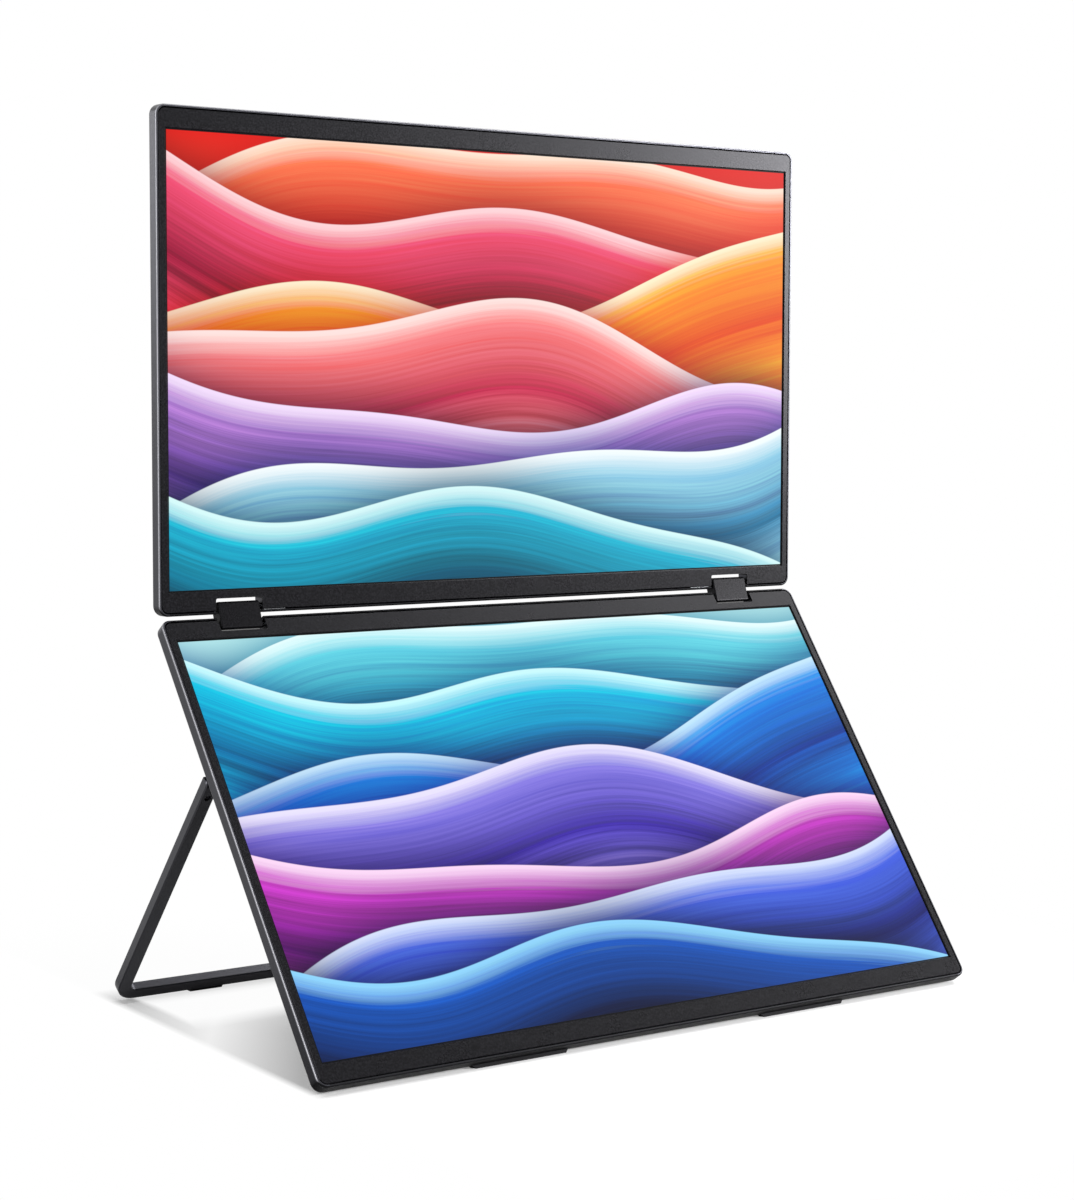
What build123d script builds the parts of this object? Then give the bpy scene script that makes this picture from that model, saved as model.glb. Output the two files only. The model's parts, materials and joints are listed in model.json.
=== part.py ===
from build123d import *
import os
from math import acos, atan2, cos, degrees, hypot, radians, sin, sqrt

# A pair of thin portable screens, one above the other on two twin-axis hinges, that stands on
# a U-shaped kickstand. Lengths are in millimetres. The part stands on the floor at z = 0,
# its pictures face -y and x runs along the hinge.

# Screens: the picture of a 15.6 inch panel and what lies around it
picture_width = 344.2
picture_height = 193.6
side_border = 4.7
far_border = 9.9
screen_thickness = 6.5
corner_radius = 4.5
screen_angle = 144.2  # degrees between the two pictures as the part stands

# Rear covers
rim_wall = 1.0
rear_wall = 1.3
back_round = 1.5
front_round = 0.8

# Bezels
parting_gap = 0.4
bezel_thickness = 0.6
bezel_chamfer = 0.35

# Picture glass and backlight
glass_margin = 2.5
glass_thickness = 1.1
backlight_gap = 0.15  # to the screw heads behind it
backlight_lip = 0.5
backlight_frame = 6.0

# Hinge blocks, and the notches in both screens that they turn in
pin_setback = 2.7
pin_spacing = 8.4
hinge_inset = 38.8  # from the screen's side to the middle of a hinge block
block_width = 20.4
block_thickness = 6.2
block_reach = 2.0
block_round = 1.2
cap_thickness = 1.6
cap_round = 0.5
notch_side_gap = 1.3
notch_sweep_gap = 0.4
notch_wall = 0.8
notch_round = 0.8

# Spring washers and nuts on the shafts' ends, and the chamber that they turn in
thread_diameter = 1.4
thread_proud = 0.3
nut_width = 2.3
nut_thickness = 1.2
spring_diameter = 2.7
spring_thickness = 0.35
spring_dish = 0.15
chamber_gap = 0.1
chamber_room = 0.5
chamber_wall = 1.4
cap_lip = 0.6

# Hinge shafts, friction sleeves and brackets
shaft_diameter = 2.2
shaft_flat = 0.35
shaft_passage_gap = 0.3
sleeve_wall = 0.35
sleeve_slit = 0.4
sleeve_inset = 0.4
bracket_length = 11.0
leaf_width = 21.0
leaf_reach = 26.0
leaf_thickness = 0.9
leaf_round = 2.0
leaf_screw_inset = 4.0

# Screws
shank_diameter = 1.4
flat_head_diameter = 2.8
flat_head_depth = 0.8
flat_screw_length = 4.0
pan_head_diameter = 2.8
pan_head_height = 0.45
pan_screw_bite = 0.8
boss_diameter = 4.2
cover_screw_shares = (-0.42, -0.17, 0.17, 0.42)  # of the screen's width, along the far edge
hinge_edge_screw_shares = (-0.17, 0.17)  # of the screen's width, along the hinge edge

# Kickstand
stand_pivot = 71.0  # from the lower hinge axis, down the back
stand_length = 132.9
stand_leg_width = 6.4
stand_bar_height = 6.0
stand_thickness = 4.7
stand_corner_radius = 10.0
stand_inner_radius = 3.0
stand_chamfer = 0.5
stand_angle = 74.4  # degrees between the open stand and the screen's back
stand_back_gap = 0.1
stand_pin_diameter = 2.4
stand_pin_bite = 5.2
stand_screw_drop = 6.4
stand_screw_sink = 1.3
stand_screw_bite = 1.7

# Kickstand brackets
lug_width = 3.8
lug_gap = 0.3
lug_pocket_gap = 0.5
lug_pocket_length = 9.0
bracket_plate = 1.0
bracket_plate_width = 26.0
bracket_plate_height = 10.0
bracket_plate_round = 2.0
bracket_screw_inset = 2.5

# Rubber feet
foot_inset = 74.3  # from the screen's side
foot_length = 49.8
foot_depth = 1.7
foot_proud = 0.8
pad_inset = 38.8  # from the stand's side
pad_length = 16.0
pad_depth = 2.6
pad_proud = 0.9
foot_stock = 4.0  # rubber left below the sole before it is cut flat

# Electronics housing on the lower screen's back
housing_edge_inset = 8.0  # the least distance from the screen's far edge
housing_wall = 1.0
housing_gap = 1.0
housing_corner = 8.0
housing_edge_round = 1.2
housing_post_diameter = 5.0
housing_post_inset = 9.0
housing_top_post_shares = (-0.42, 0.0)  # of the housing's width
housing_bottom_post_shares = (-0.47, 0.0, 0.47)  # of the housing's width
slot_width = 1.4
slot_length = 11.0
slot_pitch = 4.0
vent_slots = 11
speaker_slots = 8

# Circuit boards, sockets and speakers
board_thickness = 1.0
board_standoff = 0.5
board_post_diameter = 4.0
board_post_inset = 4.0
main_board_width = 64.0
main_board_height = 38.0
board_gap = 0.5  # to the stand bracket's plate
board_margin = 8.0  # to the housing's top edge
chip_height = 1.2
chip_size = 12.0
chip_round = 0.3
chip_shares = (-0.32, 0.0, 0.3)  # of the board's width
usb_width = 8.9
usb_height = 3.2
usb_place_shares = (0.513, 0.829)  # of the main board's height
hdmi_width = 11.2
hdmi_height = 3.2
hdmi_place_share = 0.145  # of the main board's height
hdmi_slope = 1.6
socket_depth = 7.4
socket_wall = 0.3
tongue_thickness = 0.7
tongue_setback = 3.2
tongue_share = 0.72  # of the socket's inner width
socket_gap = 0.15
speaker_length = 44.0
speaker_width = 16.0
speaker_height = 3.4
speaker_round = 2.0
speaker_inset = 49.4  # from the housing's side to the speaker's middle
speaker_rise = 16.0
driver_board_width = 150.0
driver_board_height = 18.0
driver_board_drop = 12.0
driver_board_round = 2.0
driver_board_thickness = 0.7
driver_chip_height = 0.5

# Buttons and their switches
button_names = ("power_button", "menu_button", "plus_button", "minus_button")
button_rise = 12.7  # from the stand's pivot up to the last button
button_pitch = 8.6
button_length = 7.0
button_height = 2.2
button_proud = 0.8
button_round = 0.5
button_flange = 0.6
button_flange_thickness = 0.8
button_stem = 0.6
button_stem_diameter = 1.6
button_travel = 0.5
button_gap = 0.15
switch_depth = 3.0
switch_length = 4.4
key_board_width = 9.0
key_board_thickness = 0.8

# Clearances
running_gap = 0.03  # radial, round what turns
fit_gap = 0.02  # radial, round what is fixed
seat_gap = 0.1
overrun = 2.0  # how far a cut runs past the face that it opens

# Worked-out sizes of a screen, lying on its picture: x along the hinge, y from the hinge
# axis to the far edge, z out of the back
notch_floor = hypot(block_reach, block_thickness / 2) + notch_sweep_gap
hinge_border = pin_setback + notch_floor + notch_wall + seat_gap + glass_margin
screen_width = picture_width + 2 * side_border
screen_height = hinge_border + picture_height + far_border
hinge_edge = -pin_setback
far_edge = screen_height - pin_setback
screen_middle = (hinge_edge + far_edge) / 2
picture_start = hinge_border - pin_setback
picture_end = picture_start + picture_height
glass_start = picture_start - glass_margin
glass_end = picture_end + glass_margin
front = -screen_thickness / 2
back = screen_thickness / 2
glass_front = front + bezel_thickness
backlight_front = glass_front + glass_thickness
wall_face = back - rear_wall
leaf_face = wall_face - leaf_thickness
backlight_back = leaf_face - pan_head_height - backlight_gap

# Worked-out sizes of a hinge: each one is made on the right and mirrored
hinge_offset = screen_width / 2 - hinge_inset
notch_width = block_width + 2 * notch_side_gap
block_inner = hinge_offset - block_width / 2
block_outer = hinge_offset + block_width / 2
notch_inner = hinge_offset - notch_width / 2
bracket_outer = notch_inner - rim_wall - seat_gap
bracket_inner = bracket_outer - bracket_length
cap_inner = block_outer - cap_thickness
nut_reach = nut_width / sqrt(3)  # from a nut's middle to its corners
chamber_radius = max(nut_reach, spring_diameter / 2) + chamber_gap
spring_height = spring_thickness + spring_dish
nut_height = 2 * spring_height  # over the chamber's floor
thread_length = nut_height + nut_thickness + thread_proud
chamber_floor = cap_inner - cap_lip - chamber_room - thread_length
sleeve_end = chamber_floor - chamber_wall
half_fold = (180 - screen_angle) / 2  # degrees that each hinge axis is turned from flat

# Worked-out sizes of the kickstand and of what lies between its legs when it is folded
stand_axis_height = back + stand_back_gap + stand_thickness / 2
leg_inner = screen_width / 2 - stand_leg_width
lug_outer = leg_inner - lug_gap
lug_inner = lug_outer - lug_width
pad_outer = screen_width / 2 - pad_inset
foot_outer = screen_width / 2 - foot_inset
bar_start = stand_pivot + stand_length - stand_bar_height
main_board_end = stand_pivot - bracket_plate_height / 2 - board_gap
main_board_start = main_board_end - main_board_height
housing_side = leg_inner - housing_gap
housing_start = main_board_start - board_margin
housing_end = min(bar_start - housing_gap, far_edge - housing_edge_inset)
housing_room = max(board_standoff + max(usb_height, hdmi_height), speaker_height) + seat_gap
housing_height = housing_room + housing_wall
housing_top = back + housing_height
housing_ceiling = housing_top - housing_wall
housing_middle = (housing_start + housing_end) / 2
speaker_offset = housing_side - speaker_inset
pocket_inner = lug_inner - lug_pocket_gap
pocket_start = stand_pivot - lug_pocket_length / 2
pocket_end = stand_pivot + lug_pocket_length / 2
board_face = back + board_standoff
socket_height = board_face + usb_height / 2
hdmi_place = main_board_start + hdmi_place_share * main_board_height
usb_places = [main_board_start + share * main_board_height for share in usb_place_shares]
button_axis_height = back + housing_height / 2
first_button = stand_pivot - button_rise - (len(button_names) - 1) * button_pitch


# Plain forms

def block(x_span, y_span, z_span):
    """A block between two x, two y and two z values."""
    low_x, high_x = x_span
    low_y, high_y = y_span
    low_z, high_z = z_span
    corner = (Align.MIN, Align.MIN, Align.MIN)
    body = Box(high_x - low_x, high_y - low_y, high_z - low_z, align=corner)
    return Pos(low_x, low_y, low_z) * body


def plate(width, height, radius, y_middle, z_span, x_middle=0):
    """A plate with round corners, between two heights."""
    low_z, high_z = z_span
    outline = Pos(x_middle, y_middle, low_z) * RectangleRounded(width, height, radius)
    return extrude(outline, high_z - low_z)


def post(diameter, x, y, z_span):
    """A round post that stands along z."""
    low_z, high_z = z_span
    return extrude(Pos(x, y, low_z) * Circle(diameter / 2), high_z - low_z)


def across(x, y=0, z=0):
    """A drawing plane square to the hinge, with its own x along y and its own y along z."""
    return Plane(origin=(x, y, z), x_dir=(0, 1, 0), z_dir=(1, 0, 0))


def rod(diameter, x_span, y=0, z=0):
    """A round rod that lies along x."""
    low_x, high_x = x_span
    return extrude(across(low_x, y, z) * Circle(diameter / 2), high_x - low_x)


def both_sides(body):
    """The body and its mirror image on the other side of the middle."""
    return [body, mirror(body, about=Plane.YZ)]


def top_edges(body):
    return body.faces().sort_by(Axis.Z)[-1].edges()


def bottom_edges(body):
    return body.faces().sort_by(Axis.Z)[0].edges()


# Screws

def flat_screw(x, y, top, gap=0.0):
    """A countersunk screw whose head is flush with the height top; a gap makes its hole."""
    shank = post(shank_diameter + 2 * gap, x, y, (top - flat_screw_length - gap, top))
    hanging = (Align.CENTER, Align.CENTER, Align.MAX)
    small_end = shank_diameter / 2 + gap
    large_end = flat_head_diameter / 2 + gap
    head = Cone(small_end, large_end, flat_head_depth, align=hanging)
    return shank + Pos(x, y, top) * head


def pan_screw(x, y, seat, bite, up, gap=0.0):
    """A screw whose low head lies on the height seat and whose shank runs up or down."""
    direction = 1 if up else -1
    shank_end = seat + direction * (bite + gap)
    head_end = seat - direction * pan_head_height
    shank = post(shank_diameter + 2 * gap, x, y, sorted((seat, shank_end)))
    head = post(pan_head_diameter + 2 * gap, x, y, sorted((seat, head_end)))
    return shank + head


def cover_screw_places():
    """Where the screws hold a rear cover to its bezel: in both long borders, beside the glass."""
    far_row = (glass_end + far_edge - rim_wall) / 2
    hinge_row = (glass_start + hinge_edge + rim_wall) / 2
    places = [(share * screen_width, far_row) for share in cover_screw_shares]
    return places + [(share * screen_width, hinge_row) for share in hinge_edge_screw_shares]


def leaf_screw(x, y, gap=0.0):
    """A screw through a hinge bracket's leaf into the cover's wall."""
    return pan_screw(x, y, leaf_face, leaf_thickness + pan_screw_bite, True, gap)


def leaf_screw_places():
    """Where the screws hold a hinge bracket's leaf, on the right side."""
    leaf_inner = bracket_outer - leaf_width
    near_row = glass_start + leaf_screw_inset
    far_row = leaf_reach - leaf_screw_inset
    columns = (leaf_inner + leaf_screw_inset, bracket_outer - leaf_screw_inset)
    return [(x, y) for x in columns for y in (near_row, far_row)]


# Screens

def notches(grow=0.0, z_span=(front - overrun, back + overrun)):
    """The two openings in a screen's hinge edge for the hinge blocks."""
    width = notch_width + 2 * grow
    height = notch_floor + grow + pin_setback + overrun
    middle = notch_floor + grow - height / 2
    notch = plate(width, height, notch_round, middle, z_span, hinge_offset)
    return both_sides(notch)


def rear_cover():
    """A tray with a thin rim; walls close it round the hinge notches."""
    tray = plate(screen_width, screen_height, corner_radius, screen_middle, (front, back))
    tray = fillet(top_edges(tray), back_round)
    tray = fillet(bottom_edges(tray), front_round)
    inside = (screen_width - 2 * rim_wall, screen_height - 2 * rim_wall, corner_radius - rim_wall)
    bezel_seat = plate(*inside, screen_middle, (front - overrun, glass_front))
    hollow = plate(*inside, screen_middle, (glass_front, wall_face))
    hollow -= notches(notch_wall, (front, back))
    tray -= [bezel_seat, hollow] + notches()
    passage = rod(shaft_diameter + 2 * shaft_passage_gap, (bracket_outer, block_inner))
    half_passage = shaft_diameter / 2 + shaft_passage_gap
    passage += block((bracket_outer, block_inner), (-half_passage, half_passage), (glass_front, 0))
    tray -= both_sides(passage)
    tray -= [flat_screw(x, y, back, fit_gap) for x, y in cover_screw_places()]
    for x, y in leaf_screw_places():
        tray -= both_sides(leaf_screw(x, y, fit_gap))
    return tray


def bezel():
    """The front frame, with a chamfer round both edges and bosses for the cover's screws."""
    inset = rim_wall + parting_gap
    outline = (screen_width - 2 * inset, screen_height - 2 * inset, corner_radius - inset)
    frame = plate(*outline, screen_middle, (front, glass_front))
    window_x = (-picture_width / 2, picture_width / 2)
    window_z = (front - overrun, glass_front + overrun)
    frame -= block(window_x, (picture_start, picture_end), window_z)
    frame = chamfer(bottom_edges(frame), bezel_chamfer)
    frame -= notches()
    for x, y in cover_screw_places():
        frame += post(boss_diameter, x, y, (glass_front, wall_face))
    frame -= [flat_screw(x, y, back, fit_gap) for x, y in cover_screw_places()]
    return frame


def cover_screws():
    return [flat_screw(x, y, back) for x, y in cover_screw_places()]


def lcd_panel():
    """The glass cell; its picture shows through the bezel's window."""
    half_width = picture_width / 2 + glass_margin
    return block((-half_width, half_width), (glass_start, glass_end), (glass_front, backlight_front))


def backlight():
    """The light guide's tray, with a shallow pan pressed into its back."""
    half_width = picture_width / 2 + glass_margin
    tray = block((-half_width, half_width), (glass_start, glass_end), (backlight_front, backlight_back))
    pan_width = 2 * (half_width - backlight_frame)
    pan_height = glass_end - glass_start - 2 * backlight_frame
    pan_span = (backlight_back - backlight_lip, backlight_back + overrun)
    tray -= plate(pan_width, pan_height, backlight_frame, (glass_start + glass_end) / 2, pan_span)
    return tray


# Hinges

def hinge_shaft():
    """A shaft with a flat for its bracket and a thinner threaded end in the block's chamber."""
    shaft = rod(shaft_diameter, (bracket_inner, chamber_floor))
    flat_side = shaft_diameter / 2 - shaft_flat
    flat_z = (-shaft_diameter, shaft_diameter)
    flat = block((bracket_inner, bracket_outer), (flat_side, shaft_diameter), flat_z)
    return shaft - flat + rod(thread_diameter, (chamber_floor, chamber_floor + thread_length))


def spring_washer(x, dish_start, dish_end):
    """A dished washer round a shaft; the dish rises from one of its rims to the other."""
    inner = thread_diameter / 2 + running_gap
    outer = spring_diameter / 2
    section = ((x + dish_start, inner), (x + dish_end, outer), (x + dish_end + spring_thickness, outer),
               (x + dish_start + spring_thickness, inner))
    return revolve(make_face(Polyline(*section, close=True)), Axis.X)


def spring_washers():
    """Two washers on each side that press the shaft's nut away from the chamber's floor."""
    near_one = spring_washer(chamber_floor, spring_dish, 0)
    far_one = spring_washer(chamber_floor + spring_height, 0, spring_dish)
    return both_sides(near_one) + both_sides(far_one)


def hinge_nuts():
    """The nut on each side that tightens the spring washers."""
    start = chamber_floor + nut_height
    nut = extrude(across(start) * RegularPolygon(nut_reach, 6), nut_thickness)
    nut -= rod(thread_diameter + 2 * fit_gap, (start - overrun, start + nut_thickness + overrun))
    return both_sides(nut)


def hinge_bracket():
    """A steel knuckle with a flatted bore that holds the shaft, and a leaf on the cover's wall."""
    low = hinge_edge + rim_wall + seat_gap
    knuckle_x = (bracket_inner, bracket_outer)
    knuckle = block(knuckle_x, (low, -low + leaf_thickness), (-wall_face + seat_gap, wall_face))
    bore_x = (bracket_inner - overrun, bracket_outer + overrun)
    bore = rod(shaft_diameter + 2 * fit_gap, bore_x)
    flat_side = shaft_diameter / 2 - shaft_flat + fit_gap
    bore -= block(bore_x, (flat_side, shaft_diameter), (-shaft_diameter, shaft_diameter))
    leaf_middle = bracket_outer - leaf_width / 2
    leaf_start = glass_start - leaf_round
    leaf_z = (leaf_face, wall_face)
    leaf_length = leaf_reach - leaf_start
    leaf_centre = (leaf_start + leaf_reach) / 2
    leaf = plate(leaf_width, leaf_length, leaf_round, leaf_centre, leaf_z, leaf_middle)
    neck = block(knuckle_x, (0, glass_start), leaf_z)
    bracket = knuckle + neck + leaf - bore
    for x, y in leaf_screw_places():
        bracket -= post(shank_diameter + 2 * fit_gap, x, y, (leaf_face - overrun, wall_face + overrun))
    return bracket


def hinge_screws():
    """The screws of both brackets in one screen."""
    screws = []
    for x, y in leaf_screw_places():
        screws += both_sides(leaf_screw(x, y))
    return screws


# A hinge block lies with y along the line from the lower axis to the upper one

def block_outline():
    return RectangleRounded(pin_spacing + 2 * block_reach, block_thickness, block_round)


def chamber_outline(gap=0.0):
    return SlotOverall(pin_spacing + 2 * (chamber_radius - gap), 2 * (chamber_radius - gap))


def hinge_block():
    """The housing: two bores for the sleeves and a chamber for the springs and nuts."""
    housing = extrude(across(block_inner) * block_outline(), cap_inner - block_inner)
    inner_rim = housing.faces().sort_by(Axis.X)[0].edges()
    housing = chamfer(inner_rim, cap_round)
    housing -= extrude(across(chamber_floor) * chamber_outline(), cap_inner - chamber_floor)
    sleeve_bore = shaft_diameter + 2 * (running_gap + sleeve_wall + fit_gap)
    for y in (-pin_spacing / 2, pin_spacing / 2):
        housing -= rod(sleeve_bore, (block_inner - overrun, sleeve_end), y)
        housing -= rod(shaft_diameter + 2 * running_gap, (sleeve_end, chamber_floor), y)
    return housing


def hinge_cap():
    """The end cap, with a lip that plugs the chamber."""
    cap = extrude(across(cap_inner) * block_outline(), cap_thickness)
    cap = fillet(cap.faces().sort_by(Axis.X)[-1].edges(), cap_round)
    return cap + extrude(across(cap_inner - cap_lip) * chamber_outline(fit_gap), cap_lip)


def friction_sleeves():
    """Two split sleeves that grip the shafts inside one block."""
    sleeves = []
    span = (block_inner + sleeve_inset, sleeve_end)
    inner = shaft_diameter + 2 * running_gap
    for y in (-pin_spacing / 2, pin_spacing / 2):
        sleeve = rod(inner + 2 * sleeve_wall, span, y) - rod(inner, span, y)
        slit = block(span, (y - sleeve_slit / 2, y + sleeve_slit / 2), (0, inner))
        sleeves.append(sleeve - slit)
    return sleeves


# Kickstand, lying folded with its pivot at the origin: y down the legs, z out of the back

def stand_shape():
    """The U outline: square past the pivot, round at the bar's outer and inner corners."""
    heel = stand_thickness / 2
    outline = Pos(0, (stand_length - heel) / 2) * Rectangle(screen_width, stand_length + heel)
    outline = fillet(outline.vertices().group_by(Axis.Y)[-1], stand_corner_radius)
    gap_length = stand_length - stand_bar_height + heel + overrun
    gap_middle = stand_length - stand_bar_height - gap_length / 2
    gap = Pos(0, gap_middle) * Rectangle(2 * leg_inner, gap_length)
    gap = fillet(gap.vertices().group_by(Axis.Y)[-1], stand_inner_radius)
    return outline - gap


def stand_screw_place():
    return leg_inner + stand_leg_width / 2, stand_screw_drop


def kickstand_frame():
    """The frame: chamfered all round. The inner half of each leg's end is round about the pivot; the
    outer half is a square heel, which stops on the screen's back when the stand is square to it."""
    frame = extrude(Pos(0, 0, -stand_thickness / 2) * stand_shape(), stand_thickness)
    frame = chamfer(top_edges(frame) + bottom_edges(frame), stand_chamfer)
    end = rod(stand_thickness, (leg_inner, screen_width / 2))
    end = chamfer(end.edges().filter_by(GeomType.CIRCLE), stand_chamfer)
    end_room = (-stand_thickness / 2 - overrun, 0)
    frame -= both_sides(block((leg_inner - overrun, screen_width / 2 + overrun), end_room, end_room) - end)
    pin_x = (leg_inner - overrun, leg_inner + stand_pin_bite)
    frame -= both_sides(rod(stand_pin_diameter + 2 * fit_gap, pin_x))
    x, y = stand_screw_place()
    seat = -stand_thickness / 2 + stand_screw_sink
    sink = post(pan_head_diameter + 2 * seat_gap, x, y, (-stand_thickness / 2 - overrun, seat))
    pilot = post(shank_diameter + 2 * fit_gap, x, y, (seat, seat + stand_screw_bite + fit_gap))
    frame -= both_sides(sink + pilot)
    return frame


def kickstand_pins():
    return both_sides(rod(stand_pin_diameter, (lug_inner, leg_inner + stand_pin_bite - seat_gap)))


def kickstand_screws():
    x, y = stand_screw_place()
    seat = -stand_thickness / 2 + stand_screw_sink
    return both_sides(pan_screw(x, y, seat, stand_screw_bite, True))


def kickstand_pad():
    """Rubber stock under the bar on the right, still to be cut to the bar and to the floor."""
    front_face = -stand_thickness / 2
    pad_y = (stand_length - stand_chamfer, stand_length + foot_stock)
    return block((pad_outer - pad_length, pad_outer), pad_y, (front_face, front_face + pad_depth))


# Back of the lower screen

def stand_bracket_screw_places():
    x = lug_outer - bracket_plate_width + bracket_screw_inset
    reach = bracket_plate_height / 2 - bracket_screw_inset
    return [(x, stand_pivot - reach), (x, stand_pivot + reach)]


def stand_bracket():
    """A plate on the screen's back with a lug for the kickstand's pin, on the right."""
    plate_middle = lug_outer - bracket_plate_width / 2
    base_z = (back, back + bracket_plate)
    base = plate(bracket_plate_width, bracket_plate_height, bracket_plate_round, stand_pivot, base_z,
                 plate_middle)
    lug_y = (stand_pivot - stand_thickness / 2, stand_pivot + stand_thickness / 2)
    lug = rod(stand_thickness, (lug_inner, lug_outer), stand_pivot, stand_axis_height)
    lug += block((lug_inner, lug_outer), lug_y, (back, stand_axis_height))
    bracket = base + lug
    bore_x = (lug_inner - overrun, lug_outer + overrun)
    bracket -= rod(stand_pin_diameter + 2 * running_gap, bore_x, stand_pivot, stand_axis_height)
    hole_z = (back - overrun, back + bracket_plate + overrun)
    for x, y in stand_bracket_screw_places():
        bracket -= post(shank_diameter + 2 * fit_gap, x, y, hole_z)
    return bracket


def stand_bracket_screws():
    screws = []
    for x, y in stand_bracket_screw_places():
        screws += both_sides(pan_screw(x, y, back + bracket_plate, bracket_plate + pan_screw_bite, False))
    return screws


def housing_post_places():
    """Where the screws hold the housing: two rows along its edges; one stands beside the main board."""
    width = 2 * housing_side
    top_row = housing_start + housing_post_inset
    bottom_row = housing_end - housing_post_inset
    places = [(share * width, top_row) for share in housing_top_post_shares]
    places += [(main_board_span()[0] - housing_post_inset, top_row)]
    return places + [(share * width, bottom_row) for share in housing_bottom_post_shares]


def main_board_span():
    board_end = housing_side - housing_wall - seat_gap
    return board_end - main_board_width, board_end


def key_board_span():
    plunger = button_inner_end() + button_travel + seat_gap
    return plunger, plunger + key_board_width


def board_post_places():
    """Posts under the corners of the main board and of the key board."""
    places = []
    main_board_rows = (main_board_start, main_board_end)
    boards = ((main_board_span(), main_board_rows), (key_board_span(), key_board_rows()))
    for x_span, rows in boards:
        low_x, high_x = x_span
        low_y, high_y = rows
        inset = min(board_post_inset, (high_x - low_x) / 2)
        middle = high_x - inset if low_x < 0 else low_x + inset
        places += [(middle, low_y + board_post_inset), (middle, high_y - board_post_inset)]
    return places


def lower_rear_cover():
    """The rear cover of the lower screen, with posts for the housing and its boards."""
    cover = rear_cover()
    for x, y in housing_post_places():
        cover += post(housing_post_diameter, x, y, (back, housing_ceiling))
    for x, y in board_post_places():
        cover += post(board_post_diameter, x, y, (back, board_face))
    cover -= [flat_screw(x, y, housing_top, fit_gap) for x, y in housing_post_places()]
    pilot_z = (back - pan_screw_bite - fit_gap, back)
    for x, y in stand_bracket_screw_places():
        cover -= both_sides(post(shank_diameter + 2 * fit_gap, x, y, pilot_z))
    return cover


def slot_row(count, x_middle, y_middle):
    """A row of round-ended slots through the housing's back."""
    slots = []
    upright = Rot(0, 0, 90) * SlotOverall(slot_length, slot_width)
    for number in range(count):
        x = x_middle + (number - (count - 1) / 2) * slot_pitch
        outline = Pos(x, y_middle, housing_ceiling - overrun) * upright
        slots.append(extrude(outline, housing_wall + 2 * overrun))
    return slots


def usb_outline(width, height):
    return SlotOverall(width, height)


def hdmi_outline(width, height):
    """A flat socket with its lower corners cut off."""
    half = width / 2
    points = ((-half, height / 2), (half, height / 2), (half, 0), (half - hdmi_slope, -height / 2),
              (-half + hdmi_slope, -height / 2), (-half, 0))
    return make_face(Polyline(*points, close=True))


def socket(outline, width, height, y):
    """A socket in the housing's right wall: a shell with a tongue inside."""
    end = housing_side - seat_gap
    shell = extrude(across(end - socket_depth, y, socket_height) * outline(width, height), socket_depth)
    mouth = outline(width - 2 * socket_wall, height - 2 * socket_wall)
    shell -= extrude(across(end - socket_depth + socket_wall, y, socket_height) * mouth, socket_depth)
    tongue_half = tongue_share * (width - 2 * socket_wall) / 2
    tongue_z = (socket_height - tongue_thickness / 2, socket_height + tongue_thickness / 2)
    tongue_x = (end - socket_depth, end - tongue_setback)
    return shell + block(tongue_x, (y - tongue_half, y + tongue_half), tongue_z)


def socket_places():
    places = [(usb_outline, usb_width, usb_height, y) for y in usb_places]
    return places + [(hdmi_outline, hdmi_width, hdmi_height, hdmi_place)]


def usb_c_sockets():
    return [socket(usb_outline, usb_width, usb_height, y) for y in usb_places]


def mini_hdmi_socket():
    return socket(hdmi_outline, hdmi_width, hdmi_height, hdmi_place)


def main_board():
    """The circuit board, cut out round the sockets, with its largest chips."""
    low_x, high_x = main_board_span()
    top = board_face + board_thickness
    board = block((low_x, high_x), (main_board_start, main_board_end), (board_face, top))
    middle_x = (low_x + high_x) / 2 - socket_depth
    middle_y = (main_board_start + main_board_end) / 2
    for share in chip_shares:
        x = middle_x + share * (main_board_width - 2 * socket_depth)
        board += plate(chip_size, chip_size, chip_round, middle_y, (top, top + chip_height), x)
    for outline, width, height, y in socket_places():
        low = high_x - socket_depth - 2 * socket_gap
        half = width / 2 + socket_gap
        board -= block((low, high_x + overrun), (y - half, y + half), (board_face - overrun, top + overrun))
    return board


def button_inner_end():
    """Where the buttons' stems end, on the left."""
    return -housing_side + housing_wall + seat_gap / 2 + button_flange_thickness + button_stem


def button_place(number):
    return first_button + number * button_pitch


def key_board_rows():
    first_row = button_place(0) - button_length / 2 - board_post_diameter / 2
    last_row = button_place(len(button_names) - 1) + button_length / 2
    return first_row, last_row


def key_board():
    """A narrow board with one switch behind each button."""
    low_x, high_x = key_board_span()
    top = board_face + key_board_thickness
    board = block((low_x, high_x), key_board_rows(), (board_face, top))
    for number in range(len(button_names)):
        y = button_place(number)
        board += block((low_x, low_x + switch_depth), (y - switch_length / 2, y + switch_length / 2),
                       (top, button_axis_height + button_height / 2))
    return board


def button_outline(longer=0.0, higher=0.0):
    return RectangleRounded(button_length + 2 * longer, button_height + 2 * higher, button_round)


def button(number):
    """A key in the housing's left wall: its cap, a flange behind the wall and a stem."""
    y = button_place(number)
    outer = -housing_side - button_proud
    flange_start = -housing_side + housing_wall + seat_gap / 2
    cap = extrude(across(outer, y, button_axis_height) * button_outline(), flange_start - outer)
    cap = fillet(cap.faces().sort_by(Axis.X)[0].edges(), button_round / 2)
    flange_face = across(flange_start, y, button_axis_height) * button_outline(button_flange)
    flange = extrude(flange_face, button_flange_thickness)
    stem_span = (flange_start + button_flange_thickness, button_inner_end())
    return cap + flange + rod(button_stem_diameter, stem_span, y, button_axis_height)


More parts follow.
